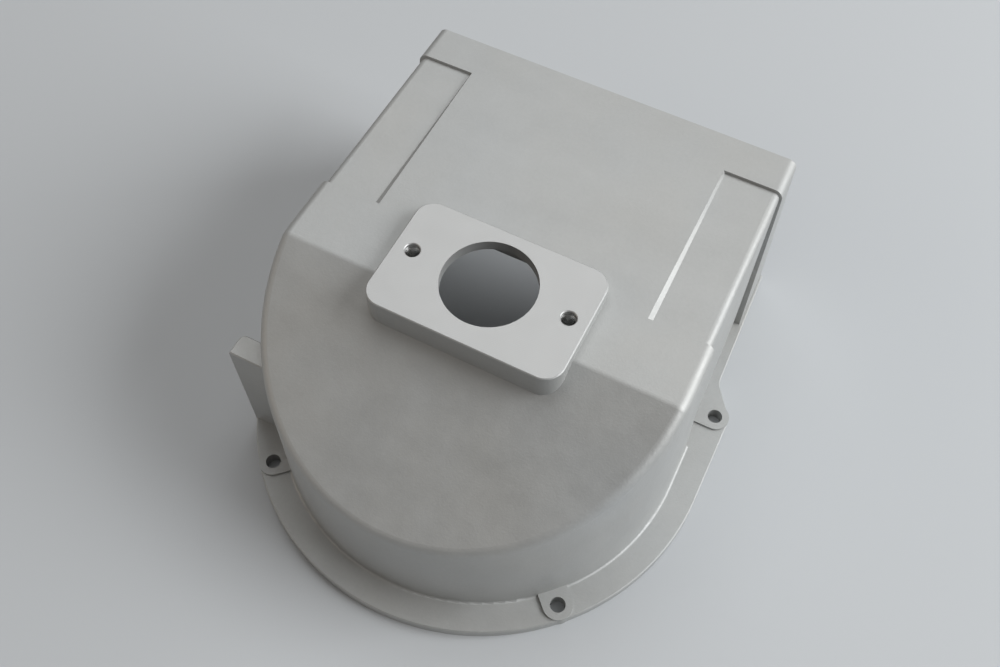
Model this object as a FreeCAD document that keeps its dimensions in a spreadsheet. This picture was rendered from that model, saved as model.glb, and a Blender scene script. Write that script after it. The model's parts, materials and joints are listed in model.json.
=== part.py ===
import FreeCAD, Part
import math
import os
import Sketcher

# Die cast housing, cast in one piece: a hollow D-shaped hood, open underneath and at the
# rear, standing on a thin bolting flange.  Millimetres, +Z up.  The round front looks along
# -Y and the open end along +Y.  The sketches are drawn from the centre of the round front
# on the base plane; the finished piece is then moved along Y, so that the part's origin is
# the middle of its footprint.  Every size below can be set by itself.

doc = FreeCAD.newDocument("DieCastHousing")
sheet = doc.addObject("Spreadsheet::Sheet", "Sizes")

SIZES = [
    # alias, value, meaning
    ("wall", 5.0, "thickness of the walls and the roof"),
    ("draft", 1.9, "draft of every wall that the die draws along Z, degrees"),
    ("frontradius", 88.0, "radius of the round front at the base plane"),
    ("bodylength", 122.0, "centre of the round front to the open end, at the base plane"),
    ("sidelean", 2.3, "how far each side leans in between the round front and the open end"),
    ("roofheight", 90.7, "flat rear part of the roof above the base plane"),
    ("creaseback", 5.6, "crease where the roof starts to fall, ahead of the centre"),
    ("roofslope", 24.0, "fall of the front part of the roof, degrees"),
    ("roofround", 4.0, "rounding along the edge of the roof"),
    ("coreround", 2.0, "rounding along the upper edge of the hollow"),
    ("flangewidth", 12.0, "width of the flange round the front"),
    ("flangethick", 5.2, "thickness of the flange"),
    ("stripstarty", 58.0, "where the narrow flange along each side starts"),
    ("stripstart", 2.2, "width of the narrow flange where it starts"),
    ("stripend", 0.9, "width of the narrow flange at the open end"),
    ("stripround", 9.0, "inside rounding where the narrow flange starts"),
    ("footround", 1.2, "rounding where the round front meets the flange"),
    ("edgebreak", 0.5, "chamfer along the upper edge of the flange and the top of the lug"),
    ("earradius", 6.2, "radius of the raised pad round each flange bolt"),
    ("earheight", 1.1, "height of the raised pads above the flange"),
    ("earbore", 6.4, "diameter of the flange bolt holes"),
    ("earout", 6.1, "middle of the flange bolt holes outside the wall"),
    ("frontearturn", 46.0, "front bolt holes round the centre, from straight ahead, degrees"),
    ("reareary", 41.5, "rear bolt holes behind the centre"),
    ("recessfront", 23.0, "front end of the side recesses"),
    ("recessrear", 101.3, "rear end of the side recesses at the roof, where the end collar starts"),
    ("collarlean", 10.0, "how much further forward the end collar starts at the flange"),
    ("recessround", 3.0, "rounding along the outer edge of the recesses"),
    ("recessinner", 57.6, "inner edge of the side recesses to the middle plane"),
    ("ramprear", 0.8, "width of the ramp along that inner edge at the rear end"),
    ("rampfront", 2.0, "width of the ramp along that inner edge at the front end"),
    ("topdeeprear", 1.4, "depth of the recess in the roof at its rear end"),
    ("topdeepfront", 1.0, "depth of the recess in the roof at its front end"),
    ("sidedeeprear", 1.0, "depth of the recess in the side wall, at the roof and its rear end"),
    ("sidedeepfront", 1.5, "depth of the recess in the side wall, at the roof and its front end"),
    ("footdeeprear", 2.8, "depth of the recess in the side wall, at the flange and its rear end"),
    ("footdeepfront", 1.3, "depth of the recess in the side wall, at the flange and its front end"),
    ("lugreach", 14.6, "how far the stop lug stands out of the wall, along its front face"),
    ("lugfront", 50.8, "flat front face of the stop lug ahead of the centre"),
    ("lugthick", 10.6, "thickness of the stop lug"),
    ("lugheight", 63.6, "top of the stop lug above the base plane"),
    ("luground", 2.6, "rounding of the stop lug's rear outer edge"),
    ("plateproud", 5.7, "machined plate face above the flat roof"),
    ("platelength", 81.0, "machined plate across the housing"),
    ("platewidth", 51.6, "machined plate along the housing"),
    ("platecorner", 8.0, "corner radius of the machined plate"),
    ("platey", 4.8, "middle of the machined plate behind the centre"),
    ("platechamfer", 0.4, "chamfer round the machined face"),
    ("platerim", 3.2, "edge of the plate to the edge of the hollow under it"),
    ("holey", 6.4, "bore and screw holes behind the centre"),
    ("spigotbore", 37.8, "diameter of the machined bore through the plate"),
    ("screwbore", 6.0, "diameter of the two tapped screw holes in the plate"),
    ("screwlead", 6.7, "diameter of the countersunk lead of the screw holes"),
    ("screwspan", 65.4, "distance between the two screw holes"),
    ("screwboss", 13.0, "diameter of the bosses under the screw holes"),
    ("screwdepth", 15.0, "length of the screw holes from the machined face"),
    ("ribthick", 3.0, "thickness of the ribs under the roof"),
    ("ribdeep", 7.0, "depth of the ribs under the roof"),
    ("ribspan", 56.0, "distance between the two long ribs"),
    ("liprib", 8.0, "cross rib ahead of the open end"),
]
VALUE = {}
for row, (alias, value, meaning) in enumerate(SIZES, start=1):
    sheet.set("A%d" % row, alias)
    sheet.set("B%d" % row, str(value))
    sheet.set("C%d" % row, meaning)
    sheet.setAlias("B%d" % row, alias)
    VALUE[alias] = value
doc.recompute()


def side_x(y):
    """Half width of the hood at the base plane, where y is the name of a size."""
    along = "Sizes." + y
    value = VALUE["frontradius"] - VALUE["sidelean"] * VALUE[y] / VALUE["bodylength"]
    return "(Sizes.frontradius - Sizes.sidelean * %s / Sizes.bodylength)" % along, value


PLATE_FACE = "Sizes.roofheight + Sizes.plateproud"
PLATE_TOP = VALUE["roofheight"] + VALUE["plateproud"]
OPEN_END = "(Sizes.frontradius - Sizes.sidelean)"
OPEN_HALF = VALUE["frontradius"] - VALUE["sidelean"]
FLANGE = "(Sizes.frontradius + Sizes.flangewidth)"
FLANGE_RADIUS = VALUE["frontradius"] + VALUE["flangewidth"]
OVERRUN = 6   # how far a cutting body reaches past what it cuts


def origin_plane(body, role):
    """The body's own XY, XZ or YZ plane."""
    return next(f for f in body.Origin.OriginFeatures if f.Role == role)


def new_sketch(body, name, role="XY_Plane", lift=None):
    """An empty sketch on one of the body's origin planes, lifted off it by an expression."""
    sketch = body.newObject("Sketcher::SketchObject", name)
    sketch.AttachmentSupport = [(origin_plane(body, role), "")]
    sketch.MapMode = "FlatFace"
    if lift:
        sketch.setExpression("AttachmentOffset.Base.z", lift)
    doc.recompute()
    return sketch


def bind(sketch, name, constraint, expression):
    """Adds a named dimension to the sketch and ties it to the size sheet."""
    index = sketch.addConstraint(constraint)
    sketch.renameConstraint(index, name)
    sketch.setExpression("Constraints." + name, expression)


def point(x, y):
    return FreeCAD.Vector(x, y, 0)


def line(a, b):
    return Part.LineSegment(point(*a), point(*b))


def closed_polygon(sketch, corners, places):
    """A closed run of lines.  Each corner's place is an (x, y) pair of expressions, each
    given from the sketch's origin; a leading minus names the side the corner lies on."""
    count = len(corners)
    first = sketch.GeometryCount
    for k in range(count):
        sketch.addGeometry(line(corners[k], corners[(k + 1) % count]), False)
    for k in range(count):
        sketch.addConstraint(Sketcher.Constraint("Coincident", first + k, 2, first + (k + 1) % count, 1))
    for k, (across, along) in enumerate(places):
        for axis, kind, expression, start in (
            ("x", "DistanceX", across, corners[k][0]),
            ("y", "DistanceY", along, corners[k][1]),
        ):
            if expression == "0":
                other = -2 if axis == "x" else -1
                sketch.addConstraint(Sketcher.Constraint("PointOnObject", first + k, 1, other))
                continue
            constraint = Sketcher.Constraint(kind, -1, 1, first + k, 1, start)
            bind(sketch, "p%d%s" % (k, axis), constraint, expression)


def rectangle(sketch, west, east, south, north, expressions):
    """An upright rectangle; expressions are the four sides in the same order."""
    corners = [(west, south), (east, south), (east, north), (west, north)]
    w, e, s, n = expressions
    closed_polygon(sketch, corners, [(w, s), (e, s), (e, n), (w, n)])


def circle(sketch, name, x, y, radius, x_expr, y_expr, radius_expr):
    index = sketch.addGeometry(Part.Circle(point(x, y), FreeCAD.Vector(0, 0, 1), radius), False)
    bind(sketch, name + "r", Sketcher.Constraint("Radius", index, radius), radius_expr)
    for axis, kind, start, expression in (("x", "DistanceX", x, x_expr), ("y", "DistanceY", y, y_expr)):
        if expression == "0":
            other = -2 if axis == "x" else -1
            sketch.addConstraint(Sketcher.Constraint("PointOnObject", index, 3, other))
        else:
            bind(sketch, name + axis, Sketcher.Constraint(kind, -1, 1, index, 3, start), expression)


def pad(body, sketch, name, length, taper=None, down=False):
    feature = body.newObject("PartDesign::Pad", name)
    feature.Profile = sketch
    feature.Reversed = down
    feature.setExpression("Length", length)
    if taper:
        feature.setExpression("TaperAngle", taper)
    doc.recompute()
    return feature


def pocket(body, sketch, name, length=None, up=True, both=False):
    """Cuts the sketch out of the body: a set length, or through all of it."""
    before = body.Shape.Volume
    feature = body.newObject("PartDesign::Pocket", name)
    feature.Profile = sketch
    feature.Reversed = up
    if both:
        feature.SideType = "Symmetric"
    if length:
        feature.Type = "Length"
        feature.setExpression("Length", length)
    else:
        feature.Type = "ThroughAll"
    doc.recompute()
    if not body.Shape.Volume < before - 1.0:
        raise RuntimeError(name + " cuts nothing")
    return feature


def dress(body, kind, name, wanted, size, expression):
    """A fillet or chamfer on every edge of the body that the test accepts."""
    base = body.Tip
    edges = enumerate(base.Shape.Edges, start=1)
    names = ["Edge%d" % k for k, edge in edges if not edge.Degenerated and wanted(edge)]
    if not names:
        raise RuntimeError(name + " finds no edge")
    feature = body.newObject("PartDesign::" + kind, name)
    feature.Base = (base, names)
    setattr(feature, size, 1.0)
    feature.setExpression(size, expression)
    doc.recompute()
    return feature


def middle(edge):
    return edge.valueAt(0.5 * (edge.FirstParameter + edge.LastParameter))


def direction(edge):
    """From one end of the edge to the other, one unit long; nothing for a closed edge."""
    chord = edge.valueAt(edge.LastParameter) - edge.valueAt(edge.FirstParameter)
    return chord / max(chord.Length, 0.001)


# ---------------------------------------------------------------- the D shaped hood

def hood_plan(body, name, inset, overrun):
    """The D plan: a round front, and two straight sides that lean in towards the open end."""
    inset_value = 0.0 if inset == "0" else VALUE["wall"]
    radius = VALUE["frontradius"] - inset_value
    length = VALUE["bodylength"] + overrun
    lean = "%s * Sizes.sidelean / Sizes.bodylength" % overrun
    end_value = OPEN_HALF - inset_value
    sketch = new_sketch(body, name)
    arc = Part.ArcOfCircle(
        Part.Circle(point(0, 0), FreeCAD.Vector(0, 0, 1), radius), math.pi - 0.01, 2 * math.pi + 0.01
    )
    sketch.addGeometry(arc, False)
    sketch.addGeometry(line((radius, 1.0), (end_value, length)), False)
    sketch.addGeometry(line((end_value, length), (-end_value, length)), False)
    sketch.addGeometry(line((-end_value, length), (-radius, 1.0)), False)
    sketch.addConstraint(Sketcher.Constraint("Coincident", 0, 3, -1, 1))
    sketch.addConstraint(Sketcher.Constraint("Tangent", 0, 2, 1, 1))
    sketch.addConstraint(Sketcher.Constraint("Coincident", 1, 2, 2, 1))
    sketch.addConstraint(Sketcher.Constraint("Coincident", 2, 2, 3, 1))
    sketch.addConstraint(Sketcher.Constraint("Tangent", 3, 2, 0, 1))
    sketch.addConstraint(Sketcher.Constraint("Symmetric", 1, 2, 2, 2, -2))
    bind(sketch, "radius", Sketcher.Constraint("Radius", 0, radius), "Sizes.frontradius - " + inset)
    bind(
        sketch, "halfwidth", Sketcher.Constraint("DistanceX", -1, 1, 1, 2, end_value),
        "%s - %s - %s" % (OPEN_END, inset, lean),
    )
    bind(
        sketch, "length", Sketcher.Constraint("DistanceY", -1, 1, 1, 2, length),
        "Sizes.bodylength + %s" % overrun,
    )
    doc.recompute()
    return sketch


def fall_away(body, name, drop, inset):
    """Cuts the falling front roof: everything above a plane through the crease.  drop is
    how far the roof lies under the outer one, inset how far the crease moves back."""
    sketch = new_sketch(body, name, "YZ_Plane")
    crease = "Sizes.creaseback - (%s)" % inset
    top = "Sizes.roofheight - (%s)" % drop
    reach = "(Sizes.frontradius + %s)" % OVERRUN
    south = -VALUE["frontradius"] - OVERRUN
    fall = (VALUE["frontradius"] + OVERRUN) * math.tan(math.radians(VALUE["roofslope"]))
    corners = [
        (-VALUE["creaseback"], VALUE["roofheight"]),
        (south, VALUE["roofheight"] - fall),
        (south, VALUE["roofheight"] + OVERRUN),
        (-VALUE["creaseback"], VALUE["roofheight"] + OVERRUN),
    ]
    places = [
        ("-(%s)" % crease, top),
        ("-%s" % reach, "%s - (%s - (%s)) * tan(Sizes.roofslope * 1 deg)" % (top, reach, crease)),
        ("-%s" % reach, "Sizes.roofheight + %s" % OVERRUN),
        ("-(%s)" % crease, "Sizes.roofheight + %s" % OVERRUN),
    ]
    closed_polygon(sketch, corners, places)
    doc.recompute()
    return pocket(body, sketch, name + "Cut", both=True)


# ---------------------------------------------------------------- the outer form

housing = doc.addObject("PartDesign::Body", "Housing")
housing.Label = "housing"
pad(housing, hood_plan(housing, "HoodPlan", "0", 0), "Hood", "Sizes.roofheight", taper="-Sizes.draft")
fall_away(housing, "RoofFall", "0", "0")


def recess_section(name, end):
    """Cross section of the hood with both side recesses, at their front or rear end."""
    sketch = new_sketch(housing, name, "XZ_Plane", "-Sizes.recess" + end)
    side = "(" + side_x("recess" + end)[0] + " - %s * tan(Sizes.draft * 1 deg) - Sizes.%s)"
    low = "Sizes.flangethick"
    floor = "(Sizes.roofheight - Sizes.topdeep%s)" % end
    floor_value = VALUE["roofheight"] - VALUE["topdeep" + end]
    inner = VALUE["recessinner"]
    steps = [
        (side % (low, "footdeep" + end), low, OPEN_HALF - 1.0, VALUE["flangethick"]),
        (side % (floor, "sidedeep" + end), floor, OPEN_HALF - 3.0, floor_value),
        ("(Sizes.recessinner + Sizes.ramp%s)" % end, floor, inner + 1.0, floor_value),
        ("Sizes.recessinner", "Sizes.roofheight", inner, VALUE["roofheight"]),
    ]
    corners = [(x, z) for _, _, x, z in steps] + [(-x, z) for _, _, x, z in reversed(steps)]
    places = [(x, z) for x, z, _, _ in steps] + [("-" + x, z) for x, z, _, _ in reversed(steps)]
    closed_polygon(sketch, corners, places)
    doc.recompute()
    return sketch


def cut_side_recesses():
    """The hood is cut away above the flange between the two stations, and filled again to the
    recessed section, so each recess runs straight from one depth to the other.  The collar
    behind the cut leans forward towards the flange."""
    sketch = new_sketch(housing, "RecessReach", "YZ_Plane")
    lean = VALUE["recessrear"] - VALUE["collarlean"]
    corners = [
        (VALUE["recessfront"], VALUE["flangethick"]),
        (lean, VALUE["flangethick"]),
        (VALUE["recessrear"], VALUE["roofheight"]),
        (VALUE["recessfront"], VALUE["roofheight"]),
    ]
    places = [
        ("Sizes.recessfront", "Sizes.flangethick"),
        ("(Sizes.recessrear - Sizes.collarlean)", "Sizes.flangethick"),
        ("Sizes.recessrear", "Sizes.roofheight"),
        ("Sizes.recessfront", "Sizes.roofheight"),
    ]
    closed_polygon(sketch, corners, places)
    doc.recompute()
    pocket(housing, sketch, "RecessCut", both=True)
    loft = housing.newObject("PartDesign::AdditiveLoft", "RecessedMiddle")
    loft.Profile = recess_section("RecessFrontSection", "front")
    loft.Sections = [recess_section("RecessRearSection", "rear")]
    loft.Ruled = True
    doc.recompute()


cut_side_recesses()


def on_roof_rim(edge):
    """The crease, and the edges where the roof turns down into the walls."""
    spot = middle(edge)
    if spot.z > VALUE["roofheight"] - VALUE["topdeeprear"] - 1.0:
        if abs(spot.x) > VALUE["recessinner"] + 15.0:
            return abs(direction(edge).x) < 0.2 and not on_recess_rim(edge)
        return abs(spot.y + VALUE["creaseback"]) < 0.1
    return edge.Curve.TypeId == "Part::GeomEllipse"


def on_recess_rim(edge):
    """The long outer edge of each recess, between the front shoulder and the collar."""
    spot = middle(edge)
    between = VALUE["recessfront"] < spot.y < VALUE["recessrear"]
    high = VALUE["roofheight"] - 2 * VALUE["topdeeprear"] < spot.z < VALUE["roofheight"] - 0.1
    outside = abs(spot.x) > VALUE["recessinner"] + 15.0
    return between and high and outside and abs(direction(edge).y) > 0.9


dress(housing, "Fillet", "RoofRounding", on_roof_rim, "Radius", "Sizes.roofround")
dress(housing, "Fillet", "RecessRounding", on_recess_rim, "Radius", "Sizes.recessround")


# ---------------------------------------------------------------- flange, ears and lug

# Half widths that follow the wall: the narrow strips at both their ends, and the rear holes.
STRIP_START_X = "(%s + Sizes.stripstart)" % side_x("stripstarty")[0]
STRIP_START = side_x("stripstarty")[1] + VALUE["stripstart"]
STRIP_END_X = "(%s + Sizes.stripend)" % OPEN_END
STRIP_END = OPEN_HALF + VALUE["stripend"]
REAR_EAR_X = "(%s + Sizes.earout)" % side_x("reareary")[0]
REAR_EAR = side_x("reareary")[1] + VALUE["earout"]


def flange_plan():
    """Half round in front, straight to the rear ears, then a narrow strip to the open end."""
    sketch = new_sketch(housing, "FlangePlan")
    size = VALUE
    radius, ear = FLANGE_RADIUS, size["earradius"]
    ear_x, ear_y = REAR_EAR, size["reareary"]
    turn = math.radians(40.0)
    leave = (ear_x + ear * math.cos(turn), ear_y + ear * math.sin(turn))
    start = (STRIP_START, size["stripstarty"])
    end = (STRIP_END, size["bodylength"])

    def mirror(spot):
        return (-spot[0], spot[1])

    up = FreeCAD.Vector(0, 0, 1)
    front = Part.ArcOfCircle(Part.Circle(point(0, 0), up, radius), math.pi, 2 * math.pi)
    right_ear = Part.ArcOfCircle(Part.Circle(point(ear_x, ear_y), up, ear), 0.0, turn)
    left_ear = Part.ArcOfCircle(Part.Circle(point(-ear_x, ear_y), up, ear), math.pi - turn, math.pi)
    for piece in (
        front,
        line((radius, 0), (ear_x + ear, ear_y)),
        right_ear,
        line(leave, start),
        line(start, end),
        line(end, mirror(end)),
        line(mirror(end), mirror(start)),
        line(mirror(start), mirror(leave)),
        left_ear,
        line((-ear_x - ear, ear_y), (-radius, 0)),
    ):
        sketch.addGeometry(piece, False)
    rule = Sketcher.Constraint
    joints = [
        ("Tangent", 0, 2, 1, 1), ("Tangent", 1, 2, 2, 1), ("Tangent", 2, 2, 3, 1),
        ("Coincident", 3, 2, 4, 1), ("Coincident", 4, 2, 5, 1), ("Coincident", 5, 2, 6, 1),
        ("Coincident", 6, 2, 7, 1), ("Tangent", 7, 2, 8, 1), ("Tangent", 8, 2, 9, 1),
        ("Tangent", 9, 2, 0, 1), ("Coincident", 0, 3, -1, 1),
        ("Symmetric", 3, 2, 7, 1, -2), ("Symmetric", 5, 1, 5, 2, -2),
        ("Symmetric", 2, 3, 8, 3, -2), ("Equal", 2, 8),
    ]
    for joint in joints:
        sketch.addConstraint(rule(*joint))
    bind(sketch, "radius", rule("Radius", 0, radius), FLANGE)
    bind(sketch, "ear", rule("Radius", 2, ear), "Sizes.earradius")
    bind(sketch, "earx", rule("DistanceX", -1, 1, 2, 3, ear_x), REAR_EAR_X)
    bind(sketch, "eary", rule("DistanceY", -1, 1, 2, 3, ear_y), "Sizes.reareary")
    bind(sketch, "startx", rule("DistanceX", -1, 1, 4, 1, start[0]), STRIP_START_X)
    bind(sketch, "starty", rule("DistanceY", -1, 1, 4, 1, start[1]), "Sizes.stripstarty")
    bind(sketch, "endx", rule("DistanceX", -1, 1, 5, 1, end[0]), STRIP_END_X)
    bind(sketch, "endy", rule("DistanceY", -1, 1, 5, 1, end[1]), "Sizes.bodylength")
    doc.recompute()
    return sketch


pad(housing, flange_plan(), "Flange", "Sizes.flangethick")


def on_strip_start(edge):
    spot = middle(edge)
    across = abs(abs(spot.x) - STRIP_START)
    return across < 0.1 and abs(spot.y - VALUE["stripstarty"]) < 0.1


def along_flange_top(edge):
    return abs(middle(edge).z - VALUE["flangethick"]) < 0.01 and abs(direction(edge).z) < 0.01


def on_foot(edge):
    """Where the round front and the plain part of the sides stand on the flange."""
    spot, ends = middle(edge), [vertex.Point.y for vertex in edge.Vertexes]
    inside = math.hypot(spot.x, min(spot.y, 0.0)) < VALUE["frontradius"]
    return along_flange_top(edge) and inside and min(ends) < VALUE["recessfront"] - 0.1


def on_flange_rim(edge):
    """The outer edge of the flange, from one end of the narrow strips round to the other."""
    spot = middle(edge)
    out = math.hypot(spot.x, min(spot.y, 0.0))
    share = (spot.y - VALUE["stripstarty"]) / (VALUE["bodylength"] - VALUE["stripstarty"])
    strip = STRIP_START + share * (STRIP_END - STRIP_START)
    if share < 0:
        strip = max(STRIP_START, VALUE["frontradius"]) + 0.2
    return along_flange_top(edge) and out > strip - 0.1 and share < 0.99


dress(housing, "Fillet", "StripStart", on_strip_start, "Radius", "Sizes.stripround")
dress(housing, "Fillet", "FootRounding", on_foot, "Radius", "Sizes.footround")
dress(housing, "Chamfer", "FlangeRim", on_flange_rim, "Size", "Sizes.edgebreak")

# Bolt places: name, middle of the hole, and the expressions that place it.
turn = math.radians(VALUE["frontearturn"])
front_out = VALUE["frontradius"] + VALUE["earout"]
front_x, front_y = front_out * math.sin(turn), -front_out * math.cos(turn)
FRONT_X = "(Sizes.frontradius + Sizes.earout) * sin(Sizes.frontearturn * 1 deg)"
FRONT_Y = "-(Sizes.frontradius + Sizes.earout) * cos(Sizes.frontearturn * 1 deg)"
EARS = [
    ("FrontRight", front_x, front_y, FRONT_X, FRONT_Y),
    ("FrontLeft", -front_x, front_y, "-" + FRONT_X, FRONT_Y),
    ("RearRight", REAR_EAR, VALUE["reareary"], REAR_EAR_X, "Sizes.reareary"),
    ("RearLeft", -REAR_EAR, VALUE["reareary"], "-" + REAR_EAR_X, "Sizes.reareary"),
]


def ear_pad(sketch, x, y, x_expr, y_expr, aims_at_centre):
    """Plan of a bolt pad: half round outside, with straight sides that run into the wall.
    The sides run along the line to the centre of the round front, or straight across."""
    rule, up = Sketcher.Constraint, FreeCAD.Vector(0, 0, 1)
    radius, first = VALUE["earradius"], sketch.GeometryCount
    root = (0.0, 0.0) if aims_at_centre else (0.0, y)
    reach = VALUE["earradius"] + VALUE["wall"] / 2
    out = math.atan2(y - root[1], x - root[0])
    along = (math.cos(out), math.sin(out))
    one = (x - radius * along[1], y + radius * along[0])
    two = (x + radius * along[1], y - radius * along[0])
    one_in = (one[0] - reach * along[0], one[1] - reach * along[1])
    two_in = (two[0] - reach * along[0], two[1] - reach * along[1])
    half = math.pi / 2
    arc = Part.ArcOfCircle(Part.Circle(point(x, y), up, radius), out - half, out + half)
    for piece in (arc, line(one, one_in), line(one_in, two_in), line(two_in, two)):
        sketch.addGeometry(piece, False)
    sketch.addGeometry(line(root, (x, y)), True)
    joints = [
        ("Tangent", first, 2, first + 1, 1), ("Coincident", first + 1, 2, first + 2, 1),
        ("Coincident", first + 2, 2, first + 3, 1), ("Tangent", first + 3, 2, first, 1),
        ("Coincident", first + 4, 2, first, 3), ("Parallel", first + 1, first + 4),
        ("Perpendicular", first + 1, first + 2),
    ]
    if aims_at_centre:
        joints.append(("Coincident", first + 4, 1, -1, 1))
    else:
        joints += [("PointOnObject", first + 4, 1, -2), ("Horizontal", first + 4)]
    for joint in joints:
        sketch.addConstraint(rule(*joint))
    label = "ear%d" % first
    bind(sketch, label + "r", rule("Radius", first, radius), "Sizes.earradius")
    bind(sketch, label + "x", rule("DistanceX", -1, 1, first, 3, x), x_expr)
    bind(sketch, label + "y", rule("DistanceY", -1, 1, first, 3, y), y_expr)
    bind(sketch, label + "in", rule("Distance", first + 1, reach), "Sizes.earradius + Sizes.wall / 2")


pads = new_sketch(housing, "EarPads")
for name, x, y, x_expr, y_expr in EARS:
    ear_pad(pads, x, y, x_expr, y_expr, name.startswith("Front"))
doc.recompute()
pad(housing, pads, "Ears", "Sizes.flangethick + Sizes.earheight")

# The wall's outer surface where the front face of the lug meets it, to the middle plane.
LUG_WALL = "sqrt(Sizes.frontradius ^ 2 - Sizes.lugfront ^ 2)"
lug_wall = math.sqrt(VALUE["frontradius"] ** 2 - VALUE["lugfront"] ** 2)
lug_back = VALUE["lugthick"] - VALUE["lugfront"]
lug_plan = new_sketch(housing, "LugPlan", lift="Sizes.flangethick / 2")
rectangle(
    lug_plan, -lug_wall - VALUE["lugreach"], 2 * VALUE["wall"] - lug_wall, -VALUE["lugfront"], lug_back,
    (
        "-(%s + Sizes.lugreach)" % LUG_WALL, "-(%s - 2 * Sizes.wall)" % LUG_WALL,
        "-Sizes.lugfront", "(Sizes.lugthick - Sizes.lugfront)",
    ),
)
doc.recompute()
pad(housing, lug_plan, "StopLug", "Sizes.lugheight - Sizes.flangethick / 2", taper="-Sizes.draft / 4")


def on_lug_corner(edge):
    """The upright edge at the back of the lug's outer end."""
    spot = middle(edge)
    near = abs(spot.x + lug_wall + VALUE["lugreach"]) < 3.0 and abs(spot.y - lug_back) < 1.5
    return near and abs(direction(edge).z) > 0.9


def on_lug_top(edge):
    """The outer edges of the lug's top, but not where it meets the wall."""
    spot = middle(edge)
    outside = math.hypot(spot.x, spot.y) > VALUE["frontradius"]
    return abs(spot.z - VALUE["lugheight"]) < 0.01 and outside


dress(housing, "Fillet", "LugRounding", on_lug_corner, "Radius", "Sizes.luground")
dress(housing, "Chamfer", "LugTop", on_lug_top, "Size", "Sizes.edgebreak")


# ---------------------------------------------------------------- the machined plate

def plate_plan(body, name, inset):
    inset_value = 0.0 if inset == "0" else VALUE["platerim"]
    half_x = VALUE["platelength"] / 2 - inset_value
    half_y = VALUE["platewidth"] / 2 - inset_value
    sketch = new_sketch(body, name, lift="Sizes.roofheight / 2")
    rectangle(
        sketch, -half_x, half_x, VALUE["platey"] - half_y, VALUE["platey"] + half_y,
        (
            "-(Sizes.platelength / 2 - %s)" % inset, "(Sizes.platelength / 2 - %s)" % inset,
            "(Sizes.platey - Sizes.platewidth / 2 + %s)" % inset,
            "(Sizes.platey + Sizes.platewidth / 2 - %s)" % inset,
        ),
    )
    doc.recompute()
    return sketch


def on_plate_corner(half_x, half_y):
    def wanted(edge):
        spot = middle(edge)
        upright = abs(direction(edge).z) > 0.9
        return (
            upright and abs(abs(spot.x) - half_x) < 0.5
            and abs(abs(spot.y - VALUE["platey"]) - half_y) < 0.5
        )
    return wanted


pad(housing, plate_plan(housing, "PlatePlan", "0"), "Plate", "Sizes.roofheight / 2 + Sizes.plateproud")
dress(
    housing, "Fillet", "PlateCorners",
    on_plate_corner(VALUE["platelength"] / 2, VALUE["platewidth"] / 2), "Radius", "Sizes.platecorner",
)
dress(
    housing, "Chamfer", "PlateEdge",
    lambda edge: middle(edge).z > PLATE_TOP - 0.01, "Size", "Sizes.platechamfer",
)


# ---------------------------------------------------------------- the hollow

core = doc.addObject("PartDesign::Body", "Core")
pad(
    core, hood_plan(core, "CorePlan", "Sizes.wall", OVERRUN), "CoreHood",
    "Sizes.roofheight - Sizes.wall", taper="-Sizes.draft",
)
fall_away(core, "CoreFall", "Sizes.wall", "Sizes.wall * tan(Sizes.roofslope / 2 * 1 deg)")


def on_core_rim(edge):
    spot = middle(edge)
    if spot.z > VALUE["roofheight"] - VALUE["wall"] - 0.5:
        if abs(spot.x) > VALUE["recessinner"]:
            return abs(direction(edge).x) < 0.2
        return spot.y < VALUE["platey"]
    return edge.Curve.TypeId == "Part::GeomEllipse"


dress(core, "Fillet", "CoreRounding", on_core_rim, "Radius", "Sizes.coreround")
pad(
    core, plate_plan(core, "PlateCorePlan", "Sizes.platerim"), "PlateCore",
    "Sizes.roofheight / 2 + Sizes.plateproud - Sizes.wall",
)
dress(
    core, "Fillet", "PlateCoreCorners",
    on_plate_corner(
        VALUE["platelength"] / 2 - VALUE["platerim"], VALUE["platewidth"] / 2 - VALUE["platerim"]
    ),
    "Radius", "Sizes.platecorner - Sizes.platerim",
)
hollow = housing.newObject("PartDesign::Boolean", "Hollow")
hollow.setObjects([core])
hollow.Type = "Cut"
doc.recompute()


# ---------------------------------------------------------------- ribs and bosses inside

# The back of the roof, where the open end stands, drawn in by the draft.
ROOF_BACK = "Sizes.bodylength - Sizes.roofheight * tan(Sizes.draft * 1 deg)"
RIB_LEVEL = "Sizes.roofheight - Sizes.wall - Sizes.ribdeep"
roof_back = VALUE["bodylength"] - VALUE["roofheight"] * math.tan(math.radians(VALUE["draft"]))
cross_back = roof_back - VALUE["liprib"]


def long_rib(name, side):
    """A rib under the flat roof, from the plate's hollow to the cross rib."""
    sketch = new_sketch(housing, name + "Plan", lift=RIB_LEVEL)
    middle_x = side * VALUE["ribspan"] / 2
    half = VALUE["ribthick"] / 2
    sign = "" if side > 0 else "-"
    rectangle(
        sketch, middle_x - half, middle_x + half,
        VALUE["platey"] + VALUE["platewidth"] / 2 - VALUE["wall"], cross_back,
        (
            "(%sSizes.ribspan / 2 - Sizes.ribthick / 2)" % sign,
            "(%sSizes.ribspan / 2 + Sizes.ribthick / 2)" % sign,
            "(Sizes.platey + Sizes.platewidth / 2 - Sizes.wall)",
            "(%s - Sizes.liprib)" % ROOF_BACK,
        ),
    )
    doc.recompute()
    pad(housing, sketch, name, "Sizes.ribdeep + Sizes.wall / 2")


long_rib("RightRib", 1)
long_rib("LeftRib", -1)

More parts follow.
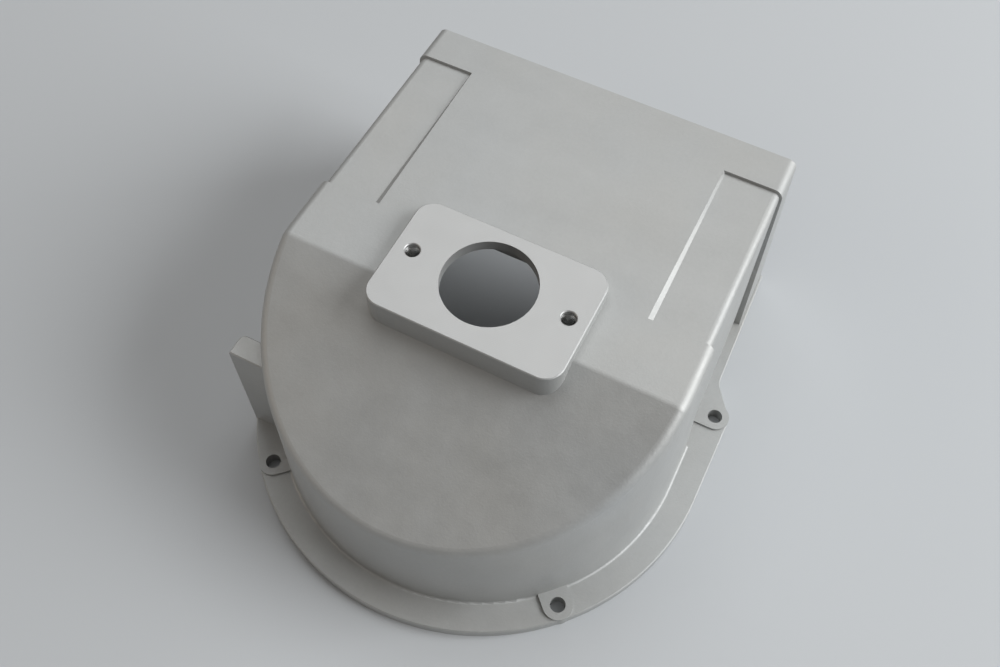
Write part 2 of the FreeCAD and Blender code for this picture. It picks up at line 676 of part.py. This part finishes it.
cross_plan = new_sketch(housing, "CrossRibPlan", lift=RIB_LEVEL)
cross_half = OPEN_HALF - VALUE["wall"]
rectangle(
    cross_plan, -cross_half, cross_half, cross_back - VALUE["ribthick"], cross_back,
    (
        "-(%s - Sizes.wall)" % OPEN_END, "(%s - Sizes.wall)" % OPEN_END,
        "(%s - Sizes.liprib - Sizes.ribthick)" % ROOF_BACK, "(%s - Sizes.liprib)" % ROOF_BACK,
    ),
)
doc.recompute()
pad(housing, cross_plan, "CrossRib", "Sizes.ribdeep + Sizes.wall / 2")

screw_bosses = new_sketch(housing, "ScrewBosses", lift=PLATE_FACE + " - Sizes.screwdepth")
screw_holes = (("Right", 1, "Sizes.screwspan / 2"), ("Left", -1, "-Sizes.screwspan / 2"))
for name, side, x_expr in screw_holes:
    circle(
        screw_bosses, name, side * VALUE["screwspan"] / 2, VALUE["holey"], VALUE["screwboss"] / 2,
        x_expr, "Sizes.holey", "Sizes.screwboss / 2",
    )
doc.recompute()
pad(housing, screw_bosses, "Bosses", "Sizes.screwdepth - Sizes.wall / 2")


# ---------------------------------------------------------------- machined bore and holes

bore_plan = new_sketch(housing, "BorePlan", lift=PLATE_FACE)
circle(
    bore_plan, "bore", 0.0, VALUE["holey"], VALUE["spigotbore"] / 2,
    "0", "Sizes.holey", "Sizes.spigotbore / 2",
)
doc.recompute()
pocket(housing, bore_plan, "Bore", "2 * Sizes.wall", up=False)

screw_plan = new_sketch(housing, "ScrewPlan", lift=PLATE_FACE)
for name, side, x_expr in screw_holes:
    circle(
        screw_plan, name, side * VALUE["screwspan"] / 2, VALUE["holey"], VALUE["screwbore"] / 2,
        x_expr, "Sizes.holey", "Sizes.screwbore / 2",
    )
doc.recompute()
pocket(housing, screw_plan, "ScrewHoles", "Sizes.screwdepth + 1", up=False)
dress(
    housing, "Chamfer", "ScrewLeads",
    lambda edge: (
        edge.Curve.TypeId == "Part::GeomCircle"
        and abs(edge.Curve.Radius - VALUE["screwbore"] / 2) < 0.01
        and middle(edge).z > PLATE_TOP - 0.01
    ),
    "Size", "(Sizes.screwlead - Sizes.screwbore) / 2",
)

ear_plan = new_sketch(housing, "EarHolePlan", lift="Sizes.flangethick + Sizes.earheight")
for name, x, y, x_expr, y_expr in EARS:
    circle(ear_plan, name, x, y, VALUE["earbore"] / 2, x_expr, y_expr, "Sizes.earbore / 2")
doc.recompute()
pocket(housing, ear_plan, "EarHoles", "Sizes.flangethick + Sizes.earheight + 1", up=False)


# ---------------------------------------------------------------- place, check and write

housing.setExpression("Placement.Base.y", "(%s - Sizes.bodylength) / 2" % FLANGE)
doc.recompute()
for item in doc.Objects:
    if "Invalid" in item.State or "Error" in item.State:
        raise RuntimeError(item.Name + " failed: " + item.getStatusString())
if housing.Shape.isNull() or not housing.Shape.isValid() or len(housing.Shape.Solids) != 1:
    raise RuntimeError("the housing is not one valid solid")
os.makedirs("parts", exist_ok=True)
housing.Shape.exportStep("parts/%s.step" % housing.Label)
print("volume %.0f mm3, box %s" % (housing.Shape.Volume, housing.Shape.BoundBox))
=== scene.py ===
"""Finish, screw threads and studio of a die cast housing, laid out as a Blender add-on.

Lengths are in metres.  The origin is the middle of the housing's footprint on its base plane,
+Z is up, -Y is the round front and +Y the open rear end.
"""

import json
import math

import bpy
import numpy as np
from mathutils import Matrix, Vector


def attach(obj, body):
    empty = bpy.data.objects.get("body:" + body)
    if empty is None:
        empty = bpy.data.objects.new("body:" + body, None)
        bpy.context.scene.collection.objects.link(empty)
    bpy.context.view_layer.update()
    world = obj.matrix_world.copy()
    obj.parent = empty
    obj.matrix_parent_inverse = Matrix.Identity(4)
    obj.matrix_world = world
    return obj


bl_info = {
    "name": "Die Cast Housing",
    "version": (1, 0, 0),
    "blender": (4, 5, 0),
    "location": "View3D > Sidebar > Housing",
    "description": "Gives a cast aluminium housing its finish, its screw threads and a studio",
    "category": "Object",
}

MM = 0.001
SLOT = "cast_aluminium"
HOUSING = "housing"

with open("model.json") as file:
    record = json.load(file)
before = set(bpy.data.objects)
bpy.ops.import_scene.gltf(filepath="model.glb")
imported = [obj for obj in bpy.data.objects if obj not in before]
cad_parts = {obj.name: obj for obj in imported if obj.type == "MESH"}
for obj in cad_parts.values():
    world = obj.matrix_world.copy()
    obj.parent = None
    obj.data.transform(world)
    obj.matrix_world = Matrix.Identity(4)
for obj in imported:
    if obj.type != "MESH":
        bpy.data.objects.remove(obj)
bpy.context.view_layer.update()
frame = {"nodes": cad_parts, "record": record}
MOUNTS = {mount["name"]: mount for mount in frame["record"]["mounts"]}
PLATE_Z = MOUNTS["plate_face"]["pos_m"][2]
BORE = MOUNTS["spigot_bore"]
SCREWS = [MOUNTS["plate_screw_left"], MOUNTS["plate_screw_right"]]


# ---------------------------------------------------------------- sizes and colours


class CastFinish(bpy.types.PropertyGroup):
    """The blasted skin that the casting has wherever no tool has cut it."""

    colour: bpy.props.FloatVectorProperty(
        name="Colour",
        description="Colour of the cast skin",
        subtype="COLOR",
        size=3,
        min=0.0,
        max=1.0,
        default=(0.46, 0.465, 0.46),
    )
    roughness: bpy.props.FloatProperty(
        name="Roughness",
        description="How dull the cast skin is",
        subtype="FACTOR",
        min=0.0,
        max=1.0,
        default=0.60,
    )
    metallic: bpy.props.FloatProperty(
        name="Metallic",
        description="How much of the skin shines like bare metal through its grey oxide",
        subtype="FACTOR",
        min=0.0,
        max=1.0,
        default=0.62,
    )
    cloud_size: bpy.props.FloatProperty(
        name="Cloud Size",
        description="Width of the pale and dark clouds that the metal's flow leaves",
        subtype="DISTANCE",
        unit="LENGTH",
        default=0.034,
    )
    grain_size: bpy.props.FloatProperty(
        name="Grain Size",
        description="Width of one dimple of the blasting",
        subtype="DISTANCE",
        unit="LENGTH",
        default=0.0009,
    )
    grain_depth: bpy.props.FloatProperty(
        name="Grain Depth",
        description="Depth of the dimples of the blasting",
        subtype="DISTANCE",
        unit="LENGTH",
        default=0.00006,
    )


class CutFinish(bpy.types.PropertyGroup):
    """The surfaces that a tool has cut: plate face, bore, screw holes and base."""

    colour: bpy.props.FloatVectorProperty(
        name="Colour",
        description="Colour of the cut metal",
        subtype="COLOR",
        size=3,
        min=0.0,
        max=1.0,
        default=(0.48, 0.48, 0.475),
    )
    roughness: bpy.props.FloatProperty(
        name="Roughness",
        description="How dull the cut metal is",
        subtype="FACTOR",
        min=0.0,
        max=1.0,
        default=0.50,
    )
    tool_step: bpy.props.FloatProperty(
        name="Tool Step",
        description="Distance between the fine grooves that the tool leaves",
        subtype="DISTANCE",
        unit="LENGTH",
        default=0.0007,
    )
    tool_depth: bpy.props.FloatProperty(
        name="Tool Depth",
        description="Depth of the fine grooves that the tool leaves",
        subtype="DISTANCE",
        unit="LENGTH",
        default=0.000004,
    )


class ScrewThread(bpy.types.PropertyGroup):
    """The thread of the two screw holes in the plate."""

    pitch: bpy.props.FloatProperty(
        name="Pitch",
        description="Distance from one ridge of the thread to the next",
        subtype="DISTANCE",
        unit="LENGTH",
        default=0.001,
    )
    ridge: bpy.props.FloatProperty(
        name="Ridge Height",
        description="How far the ridge stands out of the wall of the hole",
        subtype="DISTANCE",
        unit="LENGTH",
        default=0.00050,
    )
    sides: bpy.props.IntProperty(
        name="Sides",
        description="Steps in one turn of the thread",
        min=12,
        max=96,
        default=48,
    )


class Studio(bpy.types.PropertyGroup):
    """The floor, the lamps and the camera."""

    floor_colour: bpy.props.FloatVectorProperty(
        name="Floor Colour",
        description="Colour of the floor",
        subtype="COLOR",
        size=3,
        min=0.0,
        max=1.0,
        default=(0.52, 0.535, 0.55),
    )
    floor_size: bpy.props.FloatProperty(
        name="Floor Size",
        description="Length of each side of the floor",
        subtype="DISTANCE",
        unit="LENGTH",
        default=12.0,
    )
    key_power: bpy.props.FloatProperty(
        name="Key Power",
        description="Power of the large lamp at the right, a little to the rear",
        subtype="POWER",
        unit="POWER",
        default=44.0,
    )
    top_power: bpy.props.FloatProperty(
        name="Top Power",
        description="Power of the wide lamp overhead, towards the rear",
        subtype="POWER",
        unit="POWER",
        default=20.0,
    )
    fill_power: bpy.props.FloatProperty(
        name="Fill Power",
        description="Power of the weak warm lamp at the front left",
        subtype="POWER",
        unit="POWER",
        default=5.0,
    )
    world_strength: bpy.props.FloatProperty(
        name="Room Light",
        description="Strength of the light that comes from all round",
        min=0.0,
        default=0.16,
    )
    camera_distance: bpy.props.FloatProperty(
        name="Camera Distance",
        description="Distance from the camera to the point that it looks at",
        subtype="DISTANCE",
        unit="LENGTH",
        default=0.4882,
    )
    camera_azimuth: bpy.props.FloatProperty(
        name="Camera Azimuth",
        description="Turn of the camera round the housing, to the right of straight ahead",
        subtype="ANGLE",
        unit="ROTATION",
        default=math.radians(26.77),
    )
    camera_elevation: bpy.props.FloatProperty(
        name="Camera Elevation",
        description="Height of the camera above the horizon",
        subtype="ANGLE",
        unit="ROTATION",
        default=math.radians(60.01),
    )
    camera_roll: bpy.props.FloatProperty(
        name="Camera Roll",
        description="Turn of the camera about its own line of sight",
        subtype="ANGLE",
        unit="ROTATION",
        default=math.radians(0.43),
    )
    camera_lens: bpy.props.FloatProperty(
        name="Camera Lens",
        description="Focal length in millimetres on a 36 mm wide sensor",
        subtype="DISTANCE_CAMERA",
        unit="CAMERA",
        default=37.62,
    )
    camera_target: bpy.props.FloatVectorProperty(
        name="Camera Target",
        description="The point that the camera looks at",
        subtype="TRANSLATION",
        unit="LENGTH",
        size=3,
        default=(-0.01169, 0.02784, 0.0),
    )


# ---------------------------------------------------------------- shader expressions

# Places of the colour sockets on a Mix node, whose names its other types of value share.
MIX_FIRST, MIX_SECOND, MIX_RESULT = 6, 7, 2


class Value:
    """A number that varies over a surface; + - * and ** on it add Math nodes."""

    def __init__(self, shader, socket):
        self.shader = shader
        self.socket = socket

    def math(self, operation, *numbers):
        settings = {"operation": operation}
        return self.shader.value("ShaderNodeMath", settings, dict(enumerate(numbers)))

    def __add__(self, other):
        return self.math("ADD", self, other)

    def __radd__(self, other):
        return self.math("ADD", other, self)

    def __sub__(self, other):
        return self.math("SUBTRACT", self, other)

    def __rsub__(self, other):
        return self.math("SUBTRACT", other, self)

    def __mul__(self, other):
        return self.math("MULTIPLY", self, other)

    def __pow__(self, other):
        return self.math("POWER", self, other)

    def __abs__(self):
        return self.math("ABSOLUTE", self)

    def sine(self):
        return self.math("SINE", self)

    def root(self):
        return self.math("SQRT", self)

    def higher_of(self, other):
        return self.math("MAXIMUM", self, other)

    def rise(self, start, end):
        """0 below start, 1 above end and a smooth step between them; falls if start > end."""
        if start > end:
            return 1 - self.rise(end, start)
        return self.shader.value(
            "ShaderNodeMapRange",
            {"interpolation_type": "SMOOTHSTEP"},
            {"Value": self, "From Min": start, "From Max": end},
        )


class Shader:
    """Fills one material's node tree."""

    def __init__(self, name):
        self.material = bpy.data.materials.get(name) or bpy.data.materials.new(name)
        self.material.use_nodes = True
        self.tree = self.material.node_tree
        self.tree.nodes.clear()
        self.coordinates = self.node("ShaderNodeTexCoord").outputs["Object"]

    def node(self, kind, settings=None, inputs=None):
        """A new node of that type, its settings first and then its sockets' values or links."""
        node = self.tree.nodes.new(kind)
        for key, setting in (settings or {}).items():
            setattr(node, key, setting)
        for key, given in (inputs or {}).items():
            self.feed(node.inputs[key], given)
        return node

    def feed(self, socket, given):
        """Links a socket to a Value or another node's socket, or sets it to a plain value."""
        if isinstance(given, Value):
            given = given.socket
        if isinstance(given, bpy.types.NodeSocket):
            self.tree.links.new(given, socket)
        elif hasattr(given, "__len__") and len(given) == 3 and socket.type == "RGBA":
            socket.default_value = (*given, 1.0)
        else:
            socket.default_value = given

    def value(self, kind, settings=None, inputs=None, output=0):
        """The number that a new node gives."""
        return Value(self, self.node(kind, settings, inputs).outputs[output])

    def axes(self):
        """The place on the surface, as three Values X, Y and Z in metres."""
        split = self.node("ShaderNodeSeparateXYZ", None, {"Vector": self.coordinates})
        return [Value(self, split.outputs[axis]) for axis in "XYZ"]

    def facing_up(self):
        """How far the surface faces up: 1 for a level top, 0 for a wall, -1 for an underside."""
        geometry = self.node("ShaderNodeNewGeometry")
        split = self.node("ShaderNodeSeparateXYZ", None, {"Vector": geometry.outputs["Normal"]})
        return Value(self, split.outputs["Z"])

    def scaled_place(self, factors, shift=(0.0, 0.0, 0.0)):
        """The place on the surface, stretched along the three axes and moved."""
        settings = {"operation": "MULTIPLY_ADD"}
        inputs = {0: self.coordinates, 1: factors, 2: shift}
        return self.node("ShaderNodeVectorMath", settings, inputs).outputs[0]

    def noise(self, size, detail=2.0, roughness=0.5, place=None):
        """Soft noise from 0 to 1 about 0.5, whose spots are about size wide."""
        inputs = {
            "Vector": self.coordinates if place is None else place,
            "Scale": 1.0 / size,
            "Detail": detail,
            "Roughness": roughness,
        }
        return self.value("ShaderNodeTexNoise", {"noise_dimensions": "3D"}, inputs)

    def blend(self, factor, first, second, kind="MIX"):
        """A colour that goes from first to second as factor goes from 0 to 1."""
        settings = {"data_type": "RGBA", "blend_type": kind, "clamp_factor": True}
        inputs = {"Factor": factor, MIX_FIRST: first, MIX_SECOND: second}
        return self.node("ShaderNodeMix", settings, inputs).outputs[MIX_RESULT]

    def bump(self, height, distance, below=None):
        """A normal that follows height, given from 0 to 1, over a depth of distance."""
        inputs = {"Height": height, "Distance": distance, "Strength": 1.0}
        if below is not None:
            inputs["Normal"] = below
        return self.node("ShaderNodeBump", None, inputs).outputs["Normal"]

    def surface(self, inputs):
        """The finished surface, from the sockets of one Principled node."""
        principled = self.node("ShaderNodeBsdfPrincipled", None, inputs)
        output = self.node("ShaderNodeOutputMaterial")
        self.tree.links.new(principled.outputs["BSDF"], output.inputs["Surface"])
        return self.material


# ---------------------------------------------------------------- finishes


# Where a cut surface starts and where it is in full, so that its edge is soft but narrow.
LEVEL = (0.97, 0.99)  # of Shader.facing_up
PLATE_DEPTH = (0.12 * MM, 0.04 * MM)  # below the plate's face
BORE_MARGIN = (0.2 * MM, 0.05 * MM)  # outside the bore's radius
BORE_DEPTH = (8 * MM, 7.5 * MM)  # below the plate's face
SCREW_RADIUS = (3.5 * MM, 3.4 * MM)
SCREW_BOTTOM = (0.07, 0.0701)  # height above the base
BASE_HEIGHT = (0.3 * MM, 0.1 * MM)

# How far each noise moves the skin from its dark to its pale colour.
CLOUD_WEIGHT, PATCH_WEIGHT, STREAK_WEIGHT, SPECKLE_WEIGHT = 0.55, 0.35, 0.35, 0.30
SKIN_DARK, SKIN_PALE = 0.86, 1.13
PATCH_SIZE = 0.31  # of the clouds
SPECKLE_SIZE = 1.6  # of the blasting's grain
STREAK_STRETCH = (22.0, 70.0, 30.0)
WARMTH_SIZE = 1.7  # of the clouds
WARMTH_SHIFT = (3, 1, 2)
WARM_TINT, COOL_TINT = (1.025, 1.0, 0.965), (0.985, 1.0, 1.02)
UNEVENNESS_SIZE, UNEVENNESS_DEPTH = 0.012, 0.00016

MILL_CENTRE = (0.05, -0.35)  # middle of the milled arcs
RING_STEP = 0.5  # of the tool's step across the flat faces
CUT_DARK, CUT_PALE = 0.92, 1.06
# Painted shade in the bottom of the thread's groove and painted highlight on its crest, as factors
# of the cut metal's colour.
THREAD_GROOVE_PAINTED_SHADE, THREAD_CREST_PAINTED_HIGHLIGHT = 0.55, 1.2
THREAD_CREST = 0.86  # of the hole's radius
FLOOR_DARK, FLOOR_PALE = 0.98, 1.02


def distance_from(x, y, centre):
    """How far a place is from an upright axis at centre."""
    return ((x - centre[0]) ** 2 + (y - centre[1]) ** 2).root()


def distance_from_screws(x, y):
    """How far a place is from the nearer of the two screw holes, which mirror each other in X."""
    across, along, _ = SCREWS[1]["pos_m"]
    return distance_from(abs(x), y, [abs(across), along])


def tint(colour, factor):
    """The colour made paler or darker by a factor."""
    return [factor * c for c in colour]


def cut_areas(shader):
    """1 where a tool has cut the top of the plate, the bore, the screw holes or the base.

    The second Value is 1 in the bore alone.
    """
    x, y, z = shader.axes()
    facing_up = shader.facing_up()
    bore_radius = BORE["dims"]["r_mm"] * MM
    plate = z.rise(PLATE_Z - PLATE_DEPTH[0], PLATE_Z - PLATE_DEPTH[1]) * facing_up.rise(*LEVEL)
    from_bore = distance_from(x, y, BORE["pos_m"])
    bore = from_bore.rise(bore_radius + BORE_MARGIN[0], bore_radius + BORE_MARGIN[1])
    bore = bore * z.rise(PLATE_Z - BORE_DEPTH[0], PLATE_Z - BORE_DEPTH[1])
    screws = distance_from_screws(x, y).rise(*SCREW_RADIUS) * z.rise(*SCREW_BOTTOM)
    base = facing_up.rise(-LEVEL[0], -LEVEL[1]) * z.rise(*BASE_HEIGHT)
    return plate.higher_of(bore).higher_of(screws).higher_of(base), bore


def housing_metal(cast, cut):
    """Blasted cast skin all over, with cut metal where a tool has been."""
    shader = Shader(SLOT)
    x, y, z = shader.axes()
    cut_mask, bore = cut_areas(shader)

    # Colour of the skin: clouds of the metal's flow, streaks along the roof, fine speckle.
    clouds = shader.noise(cast.cloud_size, 3.0, 0.55)
    patches = shader.noise(cast.cloud_size * PATCH_SIZE, 4.0, 0.6)
    speckle = shader.noise(cast.grain_size * SPECKLE_SIZE, 2.0, 0.6)
    streaks = shader.noise(1.0, 3.0, 0.6, shader.scaled_place(STREAK_STRETCH))
    shade = 0.5 + (clouds - 0.5) * CLOUD_WEIGHT + (patches - 0.5) * PATCH_WEIGHT
    shade = shade + (streaks - 0.5) * STREAK_WEIGHT + (speckle - 0.5) * SPECKLE_WEIGHT
    skin = shader.blend(shade, tint(cast.colour, SKIN_DARK), tint(cast.colour, SKIN_PALE))
    moved = shader.scaled_place((1, 1, 1), WARMTH_SHIFT)
    warmth = shader.noise(cast.cloud_size * WARMTH_SIZE, 2.0, 0.5, moved)
    skin = shader.blend(1.0, skin, shader.blend(warmth, COOL_TINT, WARM_TINT), "MULTIPLY")

    # Cut metal: milled arcs across the flat faces, turned rings on the wall of the bore.
    arcs = (distance_from(x, y, MILL_CENTRE) * (math.tau / cut.tool_step)).sine()
    rings = (z * (math.tau / (cut.tool_step * RING_STEP))).sine()
    grooves = bore * rings + (1 - bore) * arcs
    cut_shade = 0.5 + grooves * 0.18 + (patches - 0.5) * 0.5
    metal = shader.blend(cut_shade, tint(cut.colour, CUT_DARK), tint(cut.colour, CUT_PALE))

    colour = shader.blend(cut_mask, skin, metal)
    skin_roughness = cast.roughness + (patches - 0.5) * 0.16 + (clouds - 0.5) * 0.10
    cut_roughness = cut.roughness + (patches - 0.5) * 0.12 + grooves * 0.03
    roughness = skin_roughness * (1 - cut_mask) + cut_roughness * cut_mask

    # Relief: a slight unevenness of the casting, the blasting's dimples and the tool's grooves.
    dimples = shader.noise(cast.grain_size, 3.0, 0.65) * (1 - cut_mask)
    unevenness = shader.noise(UNEVENNESS_SIZE, 2.0, 0.5) * (1 - cut_mask)
    normal = shader.bump(unevenness, UNEVENNESS_DEPTH)
    normal = shader.bump(dimples, cast.grain_depth, normal)
    normal = shader.bump(grooves * cut_mask, cut.tool_depth, normal)
    return shader.surface(
        {"Base Color": colour, "Metallic": cast.metallic, "Roughness": roughness, "Normal": normal}
    )


def thread_metal(cut):
    """Cut metal of the threads, with painted shade darkening the bottom of the groove and a
    painted highlight brightening the crest.
    """
    shader = Shader("thread_metal")
    x, y, _ = shader.axes()
    radius = SCREWS[0]["dims"]["r_mm"] * MM
    ridge = distance_from_screws(x, y).rise(radius, radius * THREAD_CREST)
    # Painted shade towards the wall of the hole and a painted highlight on the thread's crest,
    # blended along the ridge.
    colour = shader.blend(ridge, tint(cut.colour, THREAD_GROOVE_PAINTED_SHADE), tint(cut.colour, THREAD_CREST_PAINTED_HIGHLIGHT))
    roughness = 0.42 - ridge * 0.16
    return shader.surface({"Base Color": colour, "Metallic": 1.0, "Roughness": roughness})


def floor_paint(colour):
    """The plain matt floor, with a very faint unevenness of tone."""
    shader = Shader("floor_paint")
    shade = shader.noise(0.35, 2.0, 0.5)
    paint = shader.blend(shade, tint(colour, FLOOR_DARK), tint(colour, FLOOR_PALE))
    return shader.surface({"Base Color": paint, "Roughness": 0.85, "Specular IOR Level": 0.2})


# ---------------------------------------------------------------- meshes


THREAD_SINK = 0.02 * MM  # of the ridge's feet into the wall of the hole
THREAD_ACROSS = [-0.44, -0.07, 0.07, 0.44]  # section of the ridge, in pitches
THREAD_HEIGHT = [0.0, 1.0, 1.0, 0.0]
FADE_TURNS = 0.6


def grid_faces(rows, columns):
    """Quads of a grid of rows x columns points."""
    r, c = np.meshgrid(np.arange(rows - 1), np.arange(columns - 1))
    first = r.ravel() * columns + c.ravel()
    return np.stack([first, first + 1, first + columns + 1, first + columns], axis=1)


def make_piece(name, points, faces, material):
    """A smooth mesh piece with its place in its points, hung under the root empty."""
    mesh = bpy.data.meshes.new(name)
    mesh.from_pydata(points.reshape(-1, 3).tolist(), [], faces.tolist())
    mesh.polygons.foreach_set("use_smooth", np.ones(len(mesh.polygons), bool))
    mesh.materials.append(material)
    mesh.update()
    piece = bpy.data.objects.new(name, mesh)
    bpy.context.scene.collection.objects.link(piece)
    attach(piece, "root")
    return piece


def thread_points(hole, thread):
    """Ridge of an inside thread as one ribbon.

    With t the turns from the top and w the place across the ribbon in pitches:
        x = X + r cos(2 pi t),  y = Y + r sin(2 pi t),  z = top - (t + w) pitch
        r = radius + sink - (ridge + sink) height(w) fade(t)
    height is 0 at the ribbon's two feet and 1 at its crest, and fade goes from 0 at both ends of
    the ribbon to 1, so that the ridge sinks into the wall there.
    """
    x, y, middle = hole["pos_m"]
    radius = hole["dims"]["r_mm"] * MM
    length = hole["dims"]["length_mm"] * MM
    top = middle + length / 2 - thread.pitch
    turns = (length - 2 * thread.pitch) / thread.pitch
    along = np.linspace(0.0, turns, int(turns * thread.sides) + 1)[:, None]
    across = np.array(THREAD_ACROSS)[None, :]
    height = np.array(THREAD_HEIGHT)[None, :]
    fade = np.clip(np.minimum(along, turns - along) / FADE_TURNS, 0.0, 1.0)
    reach = radius + THREAD_SINK - (thread.ridge + THREAD_SINK) * height * fade
    angle = along * math.tau
    drop = (along + across) * thread.pitch
    return np.stack([x + reach * np.cos(angle), y + reach * np.sin(angle), top - drop], axis=2)


# ---------------------------------------------------------------- operators

FLOOR_Z = -0.0001
LAMP_AIM = (0.0, 0.0, 0.04)
COOL_LIGHT, WARM_LIGHT = (0.97, 0.99, 1.0), (1.0, 0.86, 0.72)
ROOM_COLOUR = (1.0, 0.985, 0.965, 1.0)
SENSOR_WIDTH = 36.0
NEAREST_SEEN = 0.01


class HOUSING_OT_finish(bpy.types.Operator):
    """Give the casting its blasted skin and its cut faces"""

    bl_idname = "housing.finish"
    bl_label = "Finish the Casting"
    bl_options = {"REGISTER", "UNDO"}

    def execute(self, context):
        node = frame["nodes"][HOUSING]
        metal = housing_metal(context.scene.cast_finish, context.scene.cut_finish)
        for place in node.material_slots:
            place.material = metal
        return {"FINISHED"}


class HOUSING_OT_threads(bpy.types.Operator):
    """Cut the threads of the two screw holes in the plate"""

    bl_idname = "housing.threads"
    bl_label = "Cut the Screw Threads"
    bl_options = {"REGISTER", "UNDO"}

    def execute(self, context):
        thread = context.scene.screw_thread
        metal = thread_metal(context.scene.cut_finish)
        for hole in SCREWS:
            points = thread_points(hole, thread)
            faces = grid_faces(points.shape[0], points.shape[1])
            make_piece(hole["name"] + "_thread", points, faces, metal)
        return {"FINISHED"}


class HOUSING_OT_studio(bpy.types.Operator):
    """Set up the floor, the lamps, the room light and the camera"""

    bl_idname = "housing.studio"
    bl_label = "Set Up the Studio"
    bl_options = {"REGISTER", "UNDO"}

    def execute(self, context):
        studio = context.scene.studio
        self.lay_floor(context, studio)
        self.hang_lamps(context, studio)
        self.light_room(context, studio)
        self.place_camera(context, studio)
        context.scene.view_settings.view_transform = "Standard"
        return {"FINISHED"}

    def lay_floor(self, context, studio):
        half = studio.floor_size / 2
        ends = np.array([-half, half])
        x, y = np.meshgrid(ends, ends)
        points = np.stack([x, y, np.full_like(x, FLOOR_Z)], axis=2).reshape(-1, 3)
        mesh = bpy.data.meshes.new("floor")
        mesh.from_pydata(points.tolist(), [], [(0, 1, 3, 2)])
        mesh.materials.append(floor_paint(studio.floor_colour))
        floor = bpy.data.objects.new("floor", mesh)
        context.scene.collection.objects.link(floor)

    def hang_lamp(self, context, name, place, size, power, colour):
        light = bpy.data.lights.new(name, "AREA")
        light.shape = "RECTANGLE"
        light.size, light.size_y = size
        light.energy = power
        light.color = colour
        lamp = bpy.data.objects.new(name, light)
        lamp.location = place
        direction = Vector(LAMP_AIM) - Vector(place)
        lamp.rotation_euler = direction.to_track_quat("-Z", "Y").to_euler()
        context.scene.collection.objects.link(lamp)

    def hang_lamps(self, context, studio):
        lamps = [
            ("key_lamp", (1.62, 0.52, 1.10), (1.5, 1.2), studio.key_power, COOL_LIGHT),
            ("top_lamp", (-0.45, 1.05, 2.1), (1.8, 1.8), studio.top_power, COOL_LIGHT),
            ("fill_lamp", (-1.6, -1.0, 0.9), (1.6, 1.2), studio.fill_power, WARM_LIGHT),
        ]
        for name, place, size, power, colour in lamps:
            self.hang_lamp(context, name, place, size, power, colour)

    def light_room(self, context, studio):
        world = bpy.data.worlds.new("studio_room")
        world.use_nodes = True
        background = world.node_tree.nodes["Background"]
        background.inputs["Color"].default_value = ROOM_COLOUR
        background.inputs["Strength"].default_value = studio.world_strength
        context.scene.world = world

    def place_camera(self, context, studio):
        azimuth, elevation = studio.camera_azimuth, studio.camera_elevation
        back = Vector(
            (
                math.sin(azimuth) * math.cos(elevation),
                -math.cos(azimuth) * math.cos(elevation),
                math.sin(elevation),
            )
        )
        level = Vector((0, 0, 1)).cross(back).normalized()
        right = Matrix.Rotation(studio.camera_roll, 3, back) @ level
        up = back.cross(right)
        data = bpy.data.cameras.new("camera")
        data.sensor_fit = "HORIZONTAL"
        data.sensor_width = SENSOR_WIDTH
        data.lens = studio.camera_lens
        data.clip_start = NEAREST_SEEN
        camera = bpy.data.objects.new("camera", data)
        turn = Matrix((right, up, back)).transposed().to_4x4()
        place = Vector(studio.camera_target) + back * studio.camera_distance
        camera.matrix_world = Matrix.Translation(place) @ turn
        context.scene.collection.objects.link(camera)
        context.scene.camera = camera


# ---------------------------------------------------------------- panel and registration


class HOUSING_PT_panel(bpy.types.Panel):
    """Finish, threads and studio of the housing"""

    bl_idname = "HOUSING_PT_panel"
    bl_label = "Die Cast Housing"
    bl_space_type = "VIEW_3D"
    bl_region_type = "UI"
    bl_category = "Housing"

    def draw(self, context):
        for operator, group in STEPS:
            box = self.layout.box()
            box.operator(operator.bl_idname)
            for name in group:
                settings = getattr(context.scene, name)
                for key in settings.bl_rna.properties.keys():
                    if key not in ("rna_type", "name"):
                        box.prop(settings, key)


GROUPS = {
    "cast_finish": CastFinish,
    "cut_finish": CutFinish,
    "screw_thread": ScrewThread,
    "studio": Studio,
}
STEPS = [
    (HOUSING_OT_finish, ["cast_finish", "cut_finish"]),
    (HOUSING_OT_threads, ["screw_thread"]),
    (HOUSING_OT_studio, ["studio"]),
]
CLASSES = [*GROUPS.values(), *[step[0] for step in STEPS], HOUSING_PT_panel]


def register():
    for kind in CLASSES:
        bpy.utils.register_class(kind)
    for name, kind in GROUPS.items():
        setattr(bpy.types.Scene, name, bpy.props.PointerProperty(type=kind))


def unregister():
    for name in GROUPS:
        delattr(bpy.types.Scene, name)
    for kind in reversed(CLASSES):
        bpy.utils.unregister_class(kind)


def main():
    register()
    bpy.ops.housing.finish()
    bpy.ops.housing.threads()
    bpy.ops.housing.studio()


if __name__ == "__main__":
    main()
